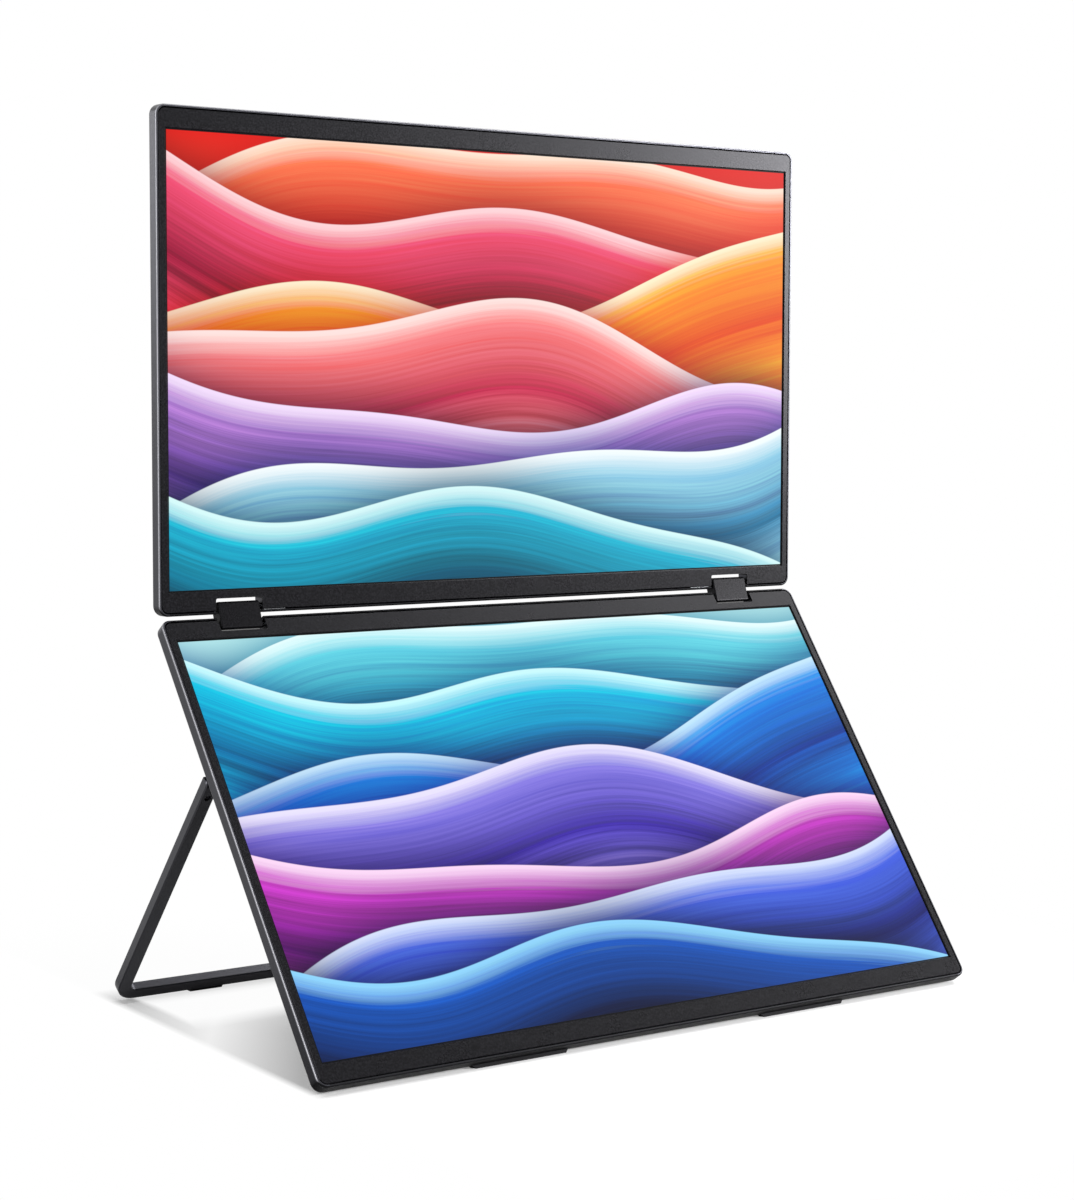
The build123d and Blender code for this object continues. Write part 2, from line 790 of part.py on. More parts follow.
def speaker():
    """A flat speaker box on the right, with a round cone in its face."""
    y = housing_end - speaker_rise
    top = back + speaker_height
    box = plate(speaker_length, speaker_width, speaker_round, y, (back, top), speaker_offset)
    cone = Cone(speaker_width / 4, speaker_width / 2 - speaker_round, speaker_height / 4,
                align=(Align.CENTER, Align.CENTER, Align.MAX))
    return box - Pos(speaker_offset, y, top) * cone


def electronics_cover():
    """The housing: a shallow lid between the stand's legs, with pockets for the stand's lugs."""
    width = 2 * housing_side
    height = housing_end - housing_start
    lid = plate(width, height, housing_corner, housing_middle, (back, housing_top))
    lid = fillet(top_edges(lid), housing_edge_round)
    inner_radius = housing_corner - housing_wall
    hollow = plate(width - 2 * housing_wall, height - 2 * housing_wall, inner_radius, housing_middle,
                   (back - overrun, housing_ceiling))
    wall_y = (pocket_start - housing_wall, pocket_end + housing_wall)
    wall_x = (pocket_inner - housing_wall, housing_side)
    hollow -= both_sides(block(wall_x, wall_y, (back - overrun, housing_top)))
    lid -= hollow
    pocket_x = (pocket_inner, housing_side + overrun)
    pocket_z = (back - overrun, housing_top + overrun)
    lid -= both_sides(block(pocket_x, (pocket_start, pocket_end), pocket_z))
    plate_reach = bracket_plate_height / 2 + seat_gap
    plate_x = (lug_outer - bracket_plate_width - seat_gap, housing_side + overrun)
    plate_y = (stand_pivot - plate_reach, stand_pivot + plate_reach)
    lid -= both_sides(block(plate_x, plate_y, (back - overrun, back + bracket_plate + seat_gap)))
    right_start = housing_side - housing_wall - overrun / 2
    for outline, hole_width, hole_height, y in socket_places():
        hole = outline(hole_width + 2 * socket_gap, hole_height + 2 * socket_gap)
        lid -= extrude(across(right_start, y, socket_height) * hole, housing_wall + overrun)
    left_start = -housing_side - overrun / 2
    key_hole = button_outline(button_gap, button_gap)
    for number in range(len(button_names)):
        key_plane = across(left_start, button_place(number), button_axis_height)
        lid -= extrude(key_plane * key_hole, housing_wall + overrun)
    vent_middle = sum(main_board_span()) / 2 - socket_depth
    lid -= slot_row(vent_slots, vent_middle, (main_board_start + main_board_end) / 2)
    for side in (-1, 1):
        lid -= slot_row(speaker_slots, side * speaker_offset, housing_end - speaker_rise)
    lid -= [flat_screw(x, y, housing_top, fit_gap) for x, y in housing_post_places()]
    return lid


def housing_screws():
    return [flat_screw(x, y, housing_top) for x, y in housing_post_places()]


def foot_stock_block():
    """Rubber stock under the lower screen's bottom edge on the right, with sloped ends, still to be cut."""
    top, bottom = far_edge - rim_wall / 2, far_edge + foot_stock
    slope = bottom - top
    inner = foot_outer - foot_length
    side = Polygon((inner, top), (foot_outer, top), (foot_outer - slope, bottom), (inner + slope, bottom),
                   align=None)
    return extrude(Pos(0, 0, back - foot_depth) * side, foot_depth)


# Back of the upper screen

def upper_driver_board():
    """A long thin board on the cover's inner wall, with its chips towards the backlight."""
    y = far_edge - driver_board_drop - driver_board_height / 2
    face = wall_face - driver_board_thickness
    board = plate(driver_board_width, driver_board_height, driver_board_round, y, (face, wall_face))
    chip_z = (face - driver_chip_height, face)
    for share in chip_shares:
        board += plate(chip_size, chip_size, chip_round, y, chip_z, share * driver_board_width)
    return board


# Where everything stands. The floor touches a circle round the lower screen's back edge and one
# round the kickstand's front edge, which gives the lean of the lower screen.

def stand_lean():
    """The lower screen's lean from upright in degrees, and its hinge axis's height."""
    edge_y = far_edge - back_round
    edge_z = back - back_round
    edge_reach = back_round + foot_proud
    tip_y = stand_length - stand_chamfer
    tip_z = -stand_thickness / 2 + stand_chamfer
    opening = radians(stand_angle)
    bar_y = stand_pivot + tip_y * cos(opening) - tip_z * sin(opening)
    bar_z = stand_axis_height + tip_y * sin(opening) + tip_z * cos(opening)
    bar_reach = stand_chamfer + pad_proud
    distance = hypot(bar_y - edge_y, bar_z - edge_z)
    lean = atan2(bar_z - edge_z, bar_y - edge_y) - acos((edge_reach - bar_reach) / distance)
    height = edge_y * cos(lean) + edge_z * sin(lean) + edge_reach
    return degrees(lean), height


lower_lean, hinge_height = stand_lean()
middle_lean = lower_lean - half_fold
upper_lean = middle_lean - half_fold


def backwards(lean):
    """The direction out of the back of a screen that leans back by an angle in degrees."""
    return 0, cos(radians(lean)), -sin(radians(lean))


def up_along(lean, start, distance):
    """The point that lies a distance up a leaning line."""
    x, y, z = start
    return x, y + distance * sin(radians(lean)), z + distance * cos(radians(lean))


lower_axis = (0, 0, hinge_height)
middle_axis = up_along(middle_lean, lower_axis, pin_spacing / 2)
upper_axis = up_along(middle_lean, lower_axis, pin_spacing)
forwards = [-value for value in backwards(middle_lean)]
lower_place = Plane(origin=lower_axis, x_dir=(1, 0, 0), z_dir=backwards(lower_lean)).location
upper_place = Plane(origin=upper_axis, x_dir=(-1, 0, 0), z_dir=backwards(upper_lean)).location
hinge_place = Plane(origin=middle_axis, x_dir=(1, 0, 0), z_dir=forwards).location
stand_place = lower_place * Pos(0, stand_pivot, stand_axis_height) * Rot(stand_angle, 0, 0)

nodes = {}


def add(name, place, pieces):
    """Keep a node: one piece, or several equal ones, moved to where they stand."""
    pieces = pieces if isinstance(pieces, list) else [pieces]
    nodes[name] = [place * piece for piece in pieces]


def cut_to_floor(stock, place, carrier):
    """Rubber stock on both sides, cut to what carries it and flat at the floor."""
    reach = screen_width + screen_height
    floor = block((-reach, reach), (-reach, reach), (-reach, 0))
    return [place * piece - carrier - floor for piece in both_sides(stock)]


def build_screens():
    for name, place in (("lower", lower_place), ("upper", upper_place)):
        add(f"{name}_bezel", place, bezel())
        add(f"{name}_lcd_panel", place, lcd_panel())
        add(f"{name}_backlight", place, backlight())
        add(f"{name}_cover_screws", place, cover_screws())
        add(f"{name}_hinge_screws", place, hinge_screws())
        add(f"{name}_spring_washers", place, spring_washers())
        add(f"{name}_hinge_nuts", place, hinge_nuts())
        sides = ("right", "left") if name == "lower" else ("left", "right")
        brackets = both_sides(hinge_bracket())
        shafts = both_sides(hinge_shaft())
        for side, bracket, shaft in zip(sides, brackets, shafts):
            add(f"{name}_{side}_hinge_bracket", place, bracket)
            add(f"{name}_{side}_hinge_shaft", place, shaft)
    add("lower_rear_cover", lower_place, lower_rear_cover())
    add("upper_rear_cover", upper_place, rear_cover())
    add("upper_driver_board", upper_place, upper_driver_board())


def build_hinges():
    for side, body, cap in zip(("right", "left"), both_sides(hinge_block()), both_sides(hinge_cap())):
        add(f"{side}_hinge_block", hinge_place, body)
        add(f"{side}_hinge_cap", hinge_place, cap)
    right_sleeves = friction_sleeves()
    add("right_friction_sleeves", hinge_place, right_sleeves)
    add("left_friction_sleeves", hinge_place, [mirror(sleeve, about=Plane.YZ) for sleeve in right_sleeves])


def build_back():
    add("electronics_cover", lower_place, electronics_cover())
    add("housing_screws", lower_place, housing_screws())
    add("main_board", lower_place, main_board())
    add("usb_c_sockets", lower_place, usb_c_sockets())
    add("mini_hdmi_socket", lower_place, mini_hdmi_socket())
    add("key_board", lower_place, key_board())
    for number, name in enumerate(button_names):
        add(name, lower_place, button(number))
    for side, box in zip(("right", "left"), both_sides(speaker())):
        add(f"{side}_speaker", lower_place, box)
    for side, bracket in zip(("right", "left"), both_sides(stand_bracket())):
        add(f"{side}_stand_bracket", lower_place, bracket)
    add("stand_bracket_screws", lower_place, stand_bracket_screws())
    feet = cut_to_floor(foot_stock_block(), lower_place, nodes["lower_rear_cover"][0])
    add("lower_feet", Location(), feet)


def build_kickstand():
    add("kickstand_frame", stand_place, kickstand_frame())
    add("kickstand_pins", stand_place, kickstand_pins())
    add("kickstand_screws", stand_place, kickstand_screws())
    feet = cut_to_floor(kickstand_pad(), stand_place, nodes["kickstand_frame"][0])
    add("kickstand_feet", Location(), feet)


build_screens()
build_hinges()
build_back()
build_kickstand()

# The origin is on the floor, under the middle of the part
depths = [limit for pieces in nodes.values() for piece in pieces
          for limit in (piece.bounding_box().min.Y, piece.bounding_box().max.Y)]
centre = Pos(0, -(min(depths) + max(depths)) / 2, 0)

os.makedirs("parts", exist_ok=True)
for name, pieces in nodes.items():
    moved = [centre * piece for piece in pieces]
    export_step(moved[0] if len(moved) == 1 else Compound(children=moved), f"parts/{name}.step")

stand_axis = (lower_place * Pos(0, stand_pivot, stand_axis_height)).position
for label, point in (("lower hinge", lower_axis), ("upper hinge", upper_axis), ("stand", stand_axis)):
    moved = centre.position + Vector(*point)
    print(f"{label} axis: y {moved.Y:.4f} z {moved.Z:.4f}")
print(f"leans: lower {lower_lean:.3f}, upper {upper_lean:.3f}; {len(nodes)} nodes")
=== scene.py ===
# %% [markdown]
# # A dual portable monitor
# Two thin screens are hinged one above the other and stand on a swing-out kickstand. The solid
# model already holds every piece at its real size and place. This lesson gives the pieces their
# finishes, models the small things that a solid model leaves plain, and lights a studio round them.

# %% Load the solid model
import json
from math import cos, radians, sin, tau

import bpy
from mathutils import Matrix, Vector


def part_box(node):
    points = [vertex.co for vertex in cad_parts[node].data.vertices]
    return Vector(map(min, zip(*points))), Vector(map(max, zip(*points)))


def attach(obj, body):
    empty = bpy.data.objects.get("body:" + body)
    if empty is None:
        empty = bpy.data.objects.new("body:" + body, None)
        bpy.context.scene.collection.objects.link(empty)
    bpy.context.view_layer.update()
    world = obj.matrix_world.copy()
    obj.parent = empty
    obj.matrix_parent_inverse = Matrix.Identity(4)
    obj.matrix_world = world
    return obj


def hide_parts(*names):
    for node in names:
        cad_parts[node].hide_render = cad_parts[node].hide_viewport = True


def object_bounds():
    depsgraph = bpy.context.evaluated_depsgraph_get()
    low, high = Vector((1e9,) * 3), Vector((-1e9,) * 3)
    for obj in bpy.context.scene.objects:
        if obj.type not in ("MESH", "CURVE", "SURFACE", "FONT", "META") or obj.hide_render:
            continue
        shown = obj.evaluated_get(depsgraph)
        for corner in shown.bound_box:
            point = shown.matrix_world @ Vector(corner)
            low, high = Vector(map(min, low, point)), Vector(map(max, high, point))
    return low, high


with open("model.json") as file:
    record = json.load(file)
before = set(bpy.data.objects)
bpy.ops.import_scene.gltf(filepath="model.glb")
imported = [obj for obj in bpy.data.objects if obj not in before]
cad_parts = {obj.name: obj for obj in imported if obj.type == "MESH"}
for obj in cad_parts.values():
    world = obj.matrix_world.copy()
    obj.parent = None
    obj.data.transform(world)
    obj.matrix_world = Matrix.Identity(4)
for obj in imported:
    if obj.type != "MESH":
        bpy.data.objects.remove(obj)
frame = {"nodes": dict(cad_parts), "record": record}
cad_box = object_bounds()
nodes = frame["nodes"]

# %% [markdown]
# ## Camera
# The photographer stood to the left of the screens, a little above the hinge, about 1.2 metres
# away. The camera could be aimed by eye, but a lens length and an angle were worked out from the
# corners of both pictures, so they are typed in once and turned into the camera's three axes.

# %% Camera
IMAGE_HEIGHT = 1200  # pixels, the image's long side
FOCAL_LENGTH = 2661.672  # in the same pixels
SENSOR_HEIGHT = 36.0  # millimetres along the long side
EYE = Vector((-0.713863, -0.938642, 0.300520))
YAW, PITCH, ROLL = radians(36.754), radians(-5.933), radians(1.441)


def camera_axes():
    """The camera's right, up and backward directions."""
    forward = Vector((sin(YAW) * cos(PITCH), cos(YAW) * cos(PITCH), sin(PITCH)))
    level = Vector((cos(YAW), -sin(YAW), 0))
    upward = level.cross(forward)
    right = level * cos(ROLL) + upward * sin(ROLL)
    up = upward * cos(ROLL) - level * sin(ROLL)
    return right, up, -forward


lens = bpy.data.cameras.new("studio_camera")
lens.sensor_width = SENSOR_HEIGHT
lens.lens = FOCAL_LENGTH * SENSOR_HEIGHT / IMAGE_HEIGHT
camera = bpy.data.objects.new("studio_camera", lens)
bpy.context.collection.objects.link(camera)
camera.matrix_world = Matrix.Translation(EYE) @ Matrix(camera_axes()).transposed().to_4x4()
bpy.context.scene.camera = camera
bpy.context.scene.view_settings.view_transform = "Standard"
print("camera lens", round(lens.lens, 2), "mm")

# %% [markdown]
# ## A small kit for finishes
# A finish is a material built from nodes. Nodes can be wired one by one, but a formula is easier
# to read, so one class wraps a socket and lets Python's own signs add Math nodes. A second class
# holds the material and adds every other kind of node with one method.

# %% Sockets that do arithmetic
class Wire:
    """One output socket; arithmetic on it adds Math nodes to its finish."""

    def __init__(self, finish, socket):
        self.finish = finish
        self.socket = socket

    def __add__(self, other):
        return self.finish.maths("ADD", self, other)

    __radd__ = __add__

    def __sub__(self, other):
        return self.finish.maths("SUBTRACT", self, other)

    def __rsub__(self, other):
        return self.finish.maths("SUBTRACT", other, self)

    def __mul__(self, other):
        return self.finish.maths("MULTIPLY", self, other)

    __rmul__ = __mul__

    def __truediv__(self, other):
        return self.finish.maths("DIVIDE", self, other)

    def __pow__(self, other):
        return self.finish.maths("POWER", self, other)


# %% A finish and its nodes
class Finish:
    """A material, or the world, with one method that adds any node."""

    def __init__(self, name, tree=None):
        self.material = None if tree else bpy.data.materials.new(name)
        if self.material:
            self.material.use_nodes = True
        self.tree = tree or self.material.node_tree
        self.tree.nodes.clear()

    def add(self, kind, settings=None, inputs=None, output=0):
        """A node of this kind; its settings are set first, then its sockets are set or linked."""
        node = self.tree.nodes.new(kind)
        for key, value in (settings or {}).items():
            if key == "stops":
                fill_ramp(node.color_ramp, value)
            else:
                setattr(node, key, value)
        for key, value in (inputs or {}).items():
            if isinstance(value, Wire):
                self.tree.links.new(value.socket, node.inputs[key])
            else:
                node.inputs[key].default_value = value
        return Wire(self, node.outputs[output]) if len(node.outputs) else node

    def maths(self, operation, *values):
        return self.add("ShaderNodeMath", {"operation": operation}, dict(enumerate(values)))

    def mix(self, factor, first, second, mode="MIX"):
        """Two colours mixed by a factor."""
        settings = {"data_type": "RGBA", "blend_type": mode}
        return self.add("ShaderNodeMix", settings, {0: factor, 6: first, 7: second}, 2)

    def clamp(self, value):
        return self.add("ShaderNodeClamp", {}, {0: value})

    def surface(self, **inputs):
        """The shader that light meets, wired to the output; an underscore stands for a space."""
        named = {key.replace("_", " "): value for key, value in inputs.items()}
        shader = self.add("ShaderNodeBsdfPrincipled", {}, named)
        self.add("ShaderNodeOutputMaterial", {}, {"Surface": shader})
        return self.material


def fill_ramp(ramp, stops):
    """Give a colour ramp these places and colours."""
    while len(ramp.elements) < len(stops):
        ramp.elements.new(1)
    for element, (place, colour) in zip(ramp.elements, stops):
        element.position = place
        element.color = colour


# %% Colours
TOE_END, TOE_SLOPE = 0.04045, 12.92  # the straight start of the curve by which screens code light
CURVE_SHIFT, CURVE_POWER = 0.055, 2.4  # the rest of it
BLACK, WHITE = (0, 0, 0, 1), (1, 1, 1, 1)


def linear(level):
    """One coded level of a colour, as light that adds up."""
    if level <= TOE_END:
        return level / TOE_SLOPE
    return ((level + CURVE_SHIFT) / (1 + CURVE_SHIFT)) ** CURVE_POWER


def paint(code):
    """A colour written as six hexadecimal digits."""
    levels = [int(code[start:start + 2], 16) / 255 for start in (1, 3, 5)]
    return (*(linear(level) for level in levels), 1.0)


# %% [markdown]
# ## Moulded plastic and metal
# The bezels are moulded with a fine spark-eroded grain: matte, nearly black, with tiny bright
# specks where a grain catches the light. Image scans could show that, but noises give it at any
# zoom: one for the specks in the colour, a slow one for the gloss, and one for the bumps.

# %% Grain
MIDDLE = 0.5  # of a noise, of a blur or of a picture's width


def place(finish):
    """Where a point of the piece lies, in metres."""
    return finish.add("ShaderNodeTexCoord", {}, {}, "Object")


def parts(finish, vector, axes):
    """Some of the three numbers that make up a vector."""
    return [finish.add("ShaderNodeSeparateXYZ", {}, {0: vector}, axis) for axis in axes]


def noise(finish, size, detail=2.0, vector=None):
    """Noise from 0 to 1 whose blotches are about this size."""
    sockets = {"Vector": vector or place(finish), "Scale": 1 / size, "Detail": detail}
    return finish.add("ShaderNodeTexNoise", {}, sockets)


def bumps(finish, height, depth):
    """A normal tilted by a height map that is this deep in metres."""
    sockets = {"Strength": 1.0, "Distance": depth, "Height": height}
    return finish.add("ShaderNodeBump", {}, sockets, "Normal")


# %% Moulded plastic
SPECK_GRAINS, DRIFT_GRAINS = 2, 40  # size of a speck and of the gloss's slow drift, in grains
SPECK_DETAIL = 3.0
SPECK_START, SPECK_GAIN = 0.4, 3.5  # where specks begin in the noise, and how sharply
PIT_DEPTH = 1 / 24  # in grains
GLOSS_DRIFT, GLOSS_SPECK = 0.04, 0.075  # how far the gloss wanders over a face, and from speck to speck
COOL_SHEEN = (0.93, 0.91, 1.0, 1.0)  # black plastic reflects a little more blue


def moulded(name, dark, light, grain, roughness, specular):
    """Moulded plastic: specks between two colours, and a grain of this size."""
    finish = Finish(name)
    speck_size = grain * SPECK_GRAINS
    specks = finish.clamp((noise(finish, speck_size, SPECK_DETAIL) - SPECK_START) * SPECK_GAIN)
    colour = finish.mix(specks, paint(dark), paint(light))
    drift = noise(finish, grain * DRIFT_GRAINS)
    gloss = roughness + GLOSS_DRIFT * (drift - MIDDLE) + GLOSS_SPECK * (specks - MIDDLE)
    normal = bumps(finish, noise(finish, speck_size), grain * PIT_DEPTH)
    return finish.surface(Base_Color=colour, Roughness=gloss, Normal=normal,
                          Specular_IOR_Level=specular, Specular_Tint=COOL_SHEEN)


# %% [markdown]
# Both rear covers and the kickstand are aluminium: blasted, so that light spreads evenly, and
# anodised dark. After anodising, the front rim of a cover is cut with a diamond tool along the
# outer sides and the top, which leaves a thin bright line beside the bezel. At the foot and the
# hinge the rim is made rougher and painted darker, as painted shade, and so is the wall at the
# foot, which faces the floor. A separate strip could be modelled for the line, but it is the same
# piece of metal, so the finish looks at the way the surface faces instead: where it turns from the
# side to the front, the dark skin is gone.

# %% Anodised metal
TINT_GRAINS, SHEEN_GRAINS = 60, 8  # size of the drift in tint and in gloss, in grains
BLAST_DEPTH = 1 / 14  # in grains
CUT_START, CUT_END = 0.15, 0.95  # how squarely the cut rim faces the front
CUT_BLUR = 10.0  # how sharply the rim begins and ends
CUT_REACH = 0.005  # how far in from the sides and the top the tool cuts
CUT_ROUGH = 0.08  # fine tool marks
CUT_TINT = "#8b8b90"
DULL_ROUGH, PAINTED_SHADE_TINT = 0.2, "#171719"  # of the rim that isn't cut, and of the wall at the foot; the tint is painted shade
FOOT_BLUR = 3.0  # how sharply the painted shade and the roughness begin round the corners of the foot


def anodised(name, dark, light, grain, roughness, front=None):
    """Blasted, anodised aluminium; a front rim is cut bright, with painted shade at the foot and hinge.
    """
    finish = Finish(name)
    tint = finish.mix(noise(finish, grain * TINT_GRAINS), paint(dark), paint(light))
    gloss = roughness + GLOSS_DRIFT * noise(finish, grain * SHEEN_GRAINS)
    height = noise(finish, grain)
    if front:
        cut, painted_shade = front_rim(finish, front)
        # painted shade: the rim at the foot and the hinge, and the wall at the foot, are tinted darker
        tint = finish.mix(painted_shade, tint, paint(PAINTED_SHADE_TINT))
        tint = finish.mix(cut, tint, paint(CUT_TINT))
        gloss = gloss + CUT_ROUGH * cut + DULL_ROUGH * painted_shade
        height = height * (1 - cut)
    normal = bumps(finish, height, grain * BLAST_DEPTH)
    return finish.surface(Base_Color=tint, Metallic=1.0, Roughness=gloss, Normal=normal)


def front_rim(finish, front):
    """Where the rim turns to the front: cut at the outer sides and top; painted shade elsewhere and at
    the foot.
    """
    facing = finish.add("ShaderNodeTexCoord", {}, {}, "Normal")
    foot = Vector((1, 0, 0)).cross(front)
    forward, footward = (
        finish.add("ShaderNodeVectorMath", {"operation": "DOT_PRODUCT"}, {0: facing, 1: way}, "Value")
        for way in (front, foot)
    )
    rim = finish.clamp((forward - CUT_START) * CUT_BLUR)
    under = finish.clamp(footward * FOOT_BLUR)
    x, z = parts(finish, place(finish), "XZ")
    beside = finish.maths("ABSOLUTE", x) - (cad_box[1].x - CUT_REACH)
    above = z - (cad_box[1].z - CUT_REACH)
    outer = finish.maths("GREATER_THAN", finish.maths("MAXIMUM", beside, above), 0)
    cut = rim * outer * (1 - under) * finish.clamp((CUT_END - forward) * CUT_BLUR)
    # the wall at the foot faces the floor and gets painted shade, as does the rim outside the cut
    wall = under * finish.clamp((forward + CUT_START) * CUT_BLUR)
    return cut, finish.maths("MAXIMUM", rim * (1 - outer), wall)


# %% Brushed metal
LINE_SIZE, LINE_DETAIL = 0.00025, 3.0
LINE_STRETCH = (0.05, 1, 1)  # lines are 20 times as long along the hinge as across it
LINE_GLOSS, LINE_DEPTH = 0.15, 0.00001


def brushed(name, dark, light, roughness):
    """Turned or drawn metal with fine lines along the hinge."""
    finish = Finish(name)
    stretch = finish.add("ShaderNodeMapping", {}, {"Vector": place(finish), "Scale": LINE_STRETCH})
    lines = noise(finish, LINE_SIZE, LINE_DETAIL, stretch)
    tint = finish.mix(lines, paint(dark), paint(light))
    return finish.surface(Base_Color=tint, Metallic=1.0, Roughness=roughness + LINE_GLOSS * lines,
                          Normal=bumps(finish, lines, LINE_DEPTH))


# %% [markdown]
# Every slot of the record now gets its finish: two tints, for all but brushed metal the size of the
# grain in metres, the roughness, and for plastic how strongly it reflects. Materials could be made
# piece by piece, but pieces of one slot come from one sheet or one pellet bag and look alike.

# %% Finishes of the record's slots
finishes = {
    "stand_metal": anodised("stand_metal", "#3d3d41", "#424246", 0.00015, 0.3),
    "hinge_shell": moulded("hinge_shell", "#020203", "#09090b", 0.0003, 0.31, 0.085),
    "bezel_plastic": moulded("bezel_plastic", "#020203", "#0f0f12", 0.0004, 0.315, 0.105),
    "housing_plastic": moulded("housing_plastic", "#131315", "#222225", 0.0006, 0.46, 0.3),
    "button_plastic": moulded("button_plastic", "#111113", "#1c1c1e", 0.0003, 0.35, 0.35),
    "speaker_plastic": moulded("speaker_plastic", "#0b0b0c", "#151516", 0.0005, 0.6, 0.3),
    "foot_rubber": moulded("foot_rubber", "#060607", "#0e0e0f", 0.0005, 0.7, 0.15),
    "backlight_plastic": moulded("backlight_plastic", "#d8d8d6", "#e6e6e4", 0.0008, 0.5, 0.4),
    "circuit_board": moulded("circuit_board", "#0a3d22", "#125c34", 0.0009, 0.35, 0.5),
    "socket_steel": brushed("socket_steel", "#a9abae", "#cfd1d3", 0.22),
    "hinge_steel": brushed("hinge_steel", "#7d7f83", "#a5a7aa", 0.25),
    "screw_steel": brushed("screw_steel", "#4c4c50", "#6b6b70", 0.3),
    "sleeve_bronze": brushed("sleeve_bronze", "#8d6a30", "#b58d47", 0.28),
}
print("made", len(finishes), "finishes")

# %% [markdown]
# ## The pictures
# A lit screen is a flat sheet of light behind anti-glare glass. It could show a photograph, but a
# picture made of nodes stays sharp and needs no file. Each screen gets layered waves, one in
# front of the other: every wave has a crest line, a light crest that falls off into a deep
# colour, streaks combed along the crest, and a soft shadow on the wave behind it.

# %% Where a picture lies on its screen
GLASS_MARGIN = 0.0025  # glass that the bezel covers, on each side


def front_of(node):
    """The way that a screen's glass faces."""
    faces = [face for face in nodes[node].data.polygons if face.normal.y < 0]
    return max(faces, key=lambda face: face.area).normal.copy()


def picture_frame(node):
    """The picture's lower left corner, its turn in space, and its width and height."""
    outward = front_of(node)
    right = Vector((1, 0, 0))
    upward = outward.cross(right)
    points = [vertex.co for vertex in nodes[node].data.vertices]
    low = [min(point @ way for point in points) + GLASS_MARGIN for way in (right, upward)]
    high = [max(point @ way for point in points) - GLASS_MARGIN for way in (right, upward)]
    depth = max(point @ outward for point in points)
    corner = right * low[0] + upward * low[1] + outward * depth
    turn = Matrix((right, upward, outward)).transposed().to_euler()
    return corner, turn, high[0] - low[0], high[1] - low[1]


# %% The crest of a wave
CREST_TOP, CREST_LOW = 0.97, 0.14  # height of the first and of the last crest
SWELL, SWELL_TURNS = 0.085, 0.8  # its height, and its turns over the picture's width
RIPPLE, RIPPLE_TURNS, RIPPLE_PHASE = 0.03, 1.7, 2.3
SLANT, SLANT_PHASE = 0.34, 0.1


def sine(finish, turns):
    return finish.maths("SINE", turns * tau)


def crest_line(finish, u, place_share, phase):
    """The height of a wave's crest over the picture's width."""
    rise = CREST_TOP + (CREST_LOW - CREST_TOP) * place_share
    slant = SLANT * sin(tau * (phase + SLANT_PHASE))
    crest = rise + slant * (u - MIDDLE) + SWELL * sine(finish, u * SWELL_TURNS + phase)
    return crest + RIPPLE * sine(finish, u * RIPPLE_TURNS + RIPPLE_PHASE * phase)


# %% Streaks along a wave
COARSE = (1.3, 3.7, 46.0)  # blotches along the picture, their shift at each wave, streaks across it
FINE = (1.9, 5.1, 150.0)
STREAK_DETAIL, STREAK_ROUGH = 6.0, 0.62


def streaks(finish, u, depth, number, comb):
    """Grey lines combed along a wave."""
    along, shift, across = comb
    spot = finish.add("ShaderNodeCombineXYZ", {}, {0: u * along + shift * number, 1: depth * across})
    sockets = {"Vector": spot, "Scale": 1.0, "Detail": STREAK_DETAIL, "Roughness": STREAK_ROUGH}
    return finish.add("ShaderNodeTexNoise", {"noise_dimensions": "2D"}, sockets)


# %% One wave
GOLDEN = 0.618  # the step in phase from wave to wave, which never repeats
BODY_PLACE, DEEP_PLACE, RETURN_PLACE = 0.16, 0.55, 0.9  # of the colours that follow the crest's
FALL, WAVER = 2.6, 0.2  # how fast they follow, and how far streaks shift them
COARSE_STRENGTH, FINE_STRENGTH = 0.75, 0.45
EDGE = 420.0  # how sharply a crest line is cut
RIM = 26.0  # how fast the bright rim under a crest fades
SHADOW_REACH, SHADOW_DEPTH = 0.13, 0.66


def wave(finish, behind, u, v, place_share, number, tints):
    """One wave painted over what lies behind it."""
    depth = crest_line(finish, u, place_share, GOLDEN * number) - v
    coarse, fine = (streaks(finish, u, depth, number, comb) for comb in (COARSE, FINE))
    light, body, deep = (paint(tint) for tint in tints)
    stops = ((0.0, light), (BODY_PLACE, body), (DEEP_PLACE, deep), (RETURN_PLACE, body))
    spot = depth * FALL + WAVER * (coarse - MIDDLE)
    colour = finish.add("ShaderNodeValToRGB", {"stops": stops}, {0: spot})
    colour = finish.mix(COARSE_STRENGTH, colour, coarse, "OVERLAY")
    colour = finish.mix(FINE_STRENGTH, colour, fine, "OVERLAY")
    colour = finish.mix(finish.clamp(1 - depth * RIM) ** 2, colour, light)
    shadow = finish.clamp(1 + depth / SHADOW_REACH) ** 2 * SHADOW_DEPTH
    shaded = finish.mix(shadow, behind, deep, "MULTIPLY")
    return finish.mix(finish.clamp(depth * EDGE), shaded, colour)


# %% A whole picture
BLACK_LINE, LINE_SHARPNESS = 0.0005, 3  # unlit rim round the picture
GLASS_TINT, GLASS_ROUGH, GLASS_SHEEN = (0.003, 0.003, 0.003, 1), 0.45, 0.03


